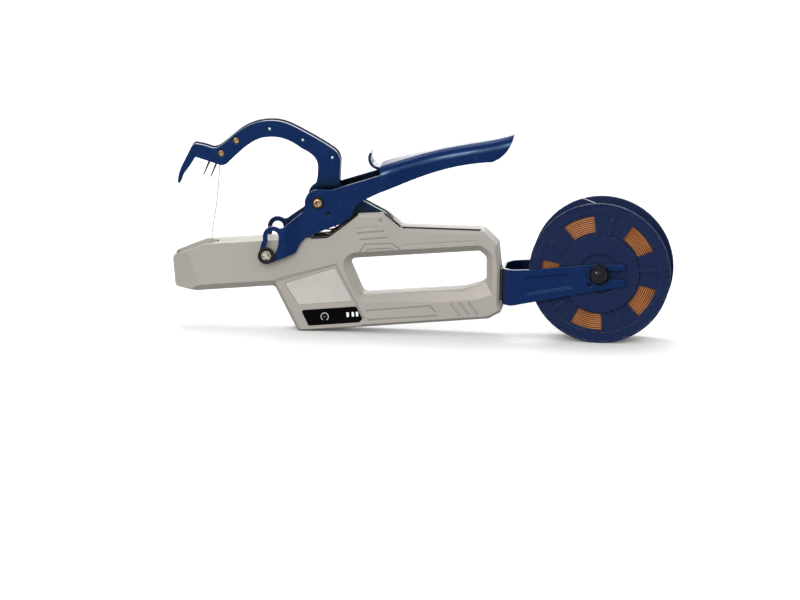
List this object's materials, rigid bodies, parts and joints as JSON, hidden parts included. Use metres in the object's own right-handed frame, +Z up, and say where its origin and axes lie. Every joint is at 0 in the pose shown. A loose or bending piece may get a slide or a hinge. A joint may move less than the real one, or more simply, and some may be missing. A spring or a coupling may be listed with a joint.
{
  "type": "electric vine tying tool",
  "caption": "Battery vine tying tool: grey clamshell body with a D handle, a blue hook that a hand lever closes on a twisting nose, and a wire reel in a rear bracket.",
  "frame": {"origin": "under the middle of the tool, on the surface where the reel's rim and the body's corner stand", "axes": "+X from the nose to the reel, +Y away from the panel side, +Z up to the hook"},
  "size_m": [0.4495, 0.0652, 0.1908],
  "materials": {
    "shell_grey": "fine matt moulding",
    "panel_black": "gloss",
    "light_white": "clear diffuser",
    "label_grey": "blank film",
    "board_green": "solder mask",
    "cell_wrap": "shrink wrap over a metal can",
    "black_plastic": "satin",
    "steel": "bright",
    "black_steel": "blackened",
    "spring_steel": "oiled brown",
    "brass": "passivated",
    "blue_paint": "gloss powder coat",
    "reel_navy": "satin moulding",
    "coated_wire": "coated tying wire",
    "lead_red": "insulation"
  },
  "bodies": {
    "body": {"left_shell": "shell_grey", "right_shell": "shell_grey", "shell_screws": "steel", "control_panel": "panel_black", "status_lights": "light_white", "label_plate": "label_grey", "circuit_board": "board_green", "battery_cells": "cell_wrap", "battery_contacts": "steel", "charge_socket": "black_plastic", "drive_motor": "steel", "gearbox": "steel", "motor_leads": "lead_red", "shaft_bush": "brass", "spindle_bushes": "brass", "cutter_blade": "steel", "wire_guide_tube": "steel", "feed_wire": "coated_wire", "tie_wire": "coated_wire", "hook_pivot_pin": "steel", "guide_pin": "steel", "guide_sleeves": "black_plastic", "guide_washers": "black_steel", "guide_clips": "steel", "return_spring": "spring_steel", "reel_bracket": "blue_paint", "bracket_pad": "black_plastic", "bracket_screws": "steel", "wire_grommet": "black_plastic", "reel_axle": "steel", "axle_washers": "black_steel", "axle_nuts": "reel_navy"},
    "hook": {"hook_front_plate": "blue_paint", "hook_rear_plate": "blue_paint", "hook_spacers": "steel", "tine_block": "steel", "wire_tines": "steel", "hook_bolts": "brass", "hook_rivets": "steel", "hook_bush": "brass"},
    "lever": {"lever": "blue_paint", "lever_bolt": "brass", "lever_nut": "steel", "lever_washers": "black_steel", "lever_sleeves": "steel"},
    "reel": {"reel_front_flange": "reel_navy", "reel_rear_flange": "reel_navy", "reel_core": "reel_navy", "reel_bushes": "reel_navy", "wound_core": "coated_wire", "wire_winding": "coated_wire"},
    "button": {"power_button": "panel_black"},
    "twister": {"twister_spindle": "steel", "twister_gear": "steel"},
    "drive_shaft": {"drive_shaft": "steel", "drive_pinion": "steel"}
  },
  "joints": [
    {"name": "hook_swing", "type": "hinge", "parent": "body", "child": "hook", "pos_m": [-0.0376, 0, 0.1046], "axis": [0, -1, 0], "range_deg": [0, 21.5], "stiffness_Nm_per_rad": 1, "springref_deg": -40.11, "deforming": ["return_spring", "tie_wire"]},
    {"name": "lever_swing", "type": "hinge", "parent": "hook", "child": "lever", "pos_m": [-0.094, 0, 0.1194], "axis": [0, 1, 0], "range_deg": [0, 29.7]},
    {"name": "reel_spin", "type": "hinge", "parent": "body", "child": "reel", "pos_m": [0.161, 0, 0.0638], "axis": [0, 1, 0], "continuous": true},
    {"name": "button_press", "type": "slide", "parent": "body", "child": "button", "axis": [0, 1, 0], "range_m": [0, 0.0008], "stiffness_N_per_m": 900, "springref_m": -0.0006},
    {"name": "twister_spin", "type": "hinge", "parent": "body", "child": "twister", "pos_m": [-0.1918, 0, 0.053], "axis": [0, 0, 1], "continuous": true},
    {"name": "drive_spin", "type": "hinge", "parent": "body", "child": "drive_shaft", "pos_m": [-0.15, 0, 0.053], "axis": [1, 0, 0], "continuous": true}
  ],
  "couplings": [
    {"joint": "lever_swing", "follows": "hook_swing", "ratio": 1.38},
    {"joint": "drive_spin", "follows": "twister_spin", "ratio": 1.75}
  ]
}
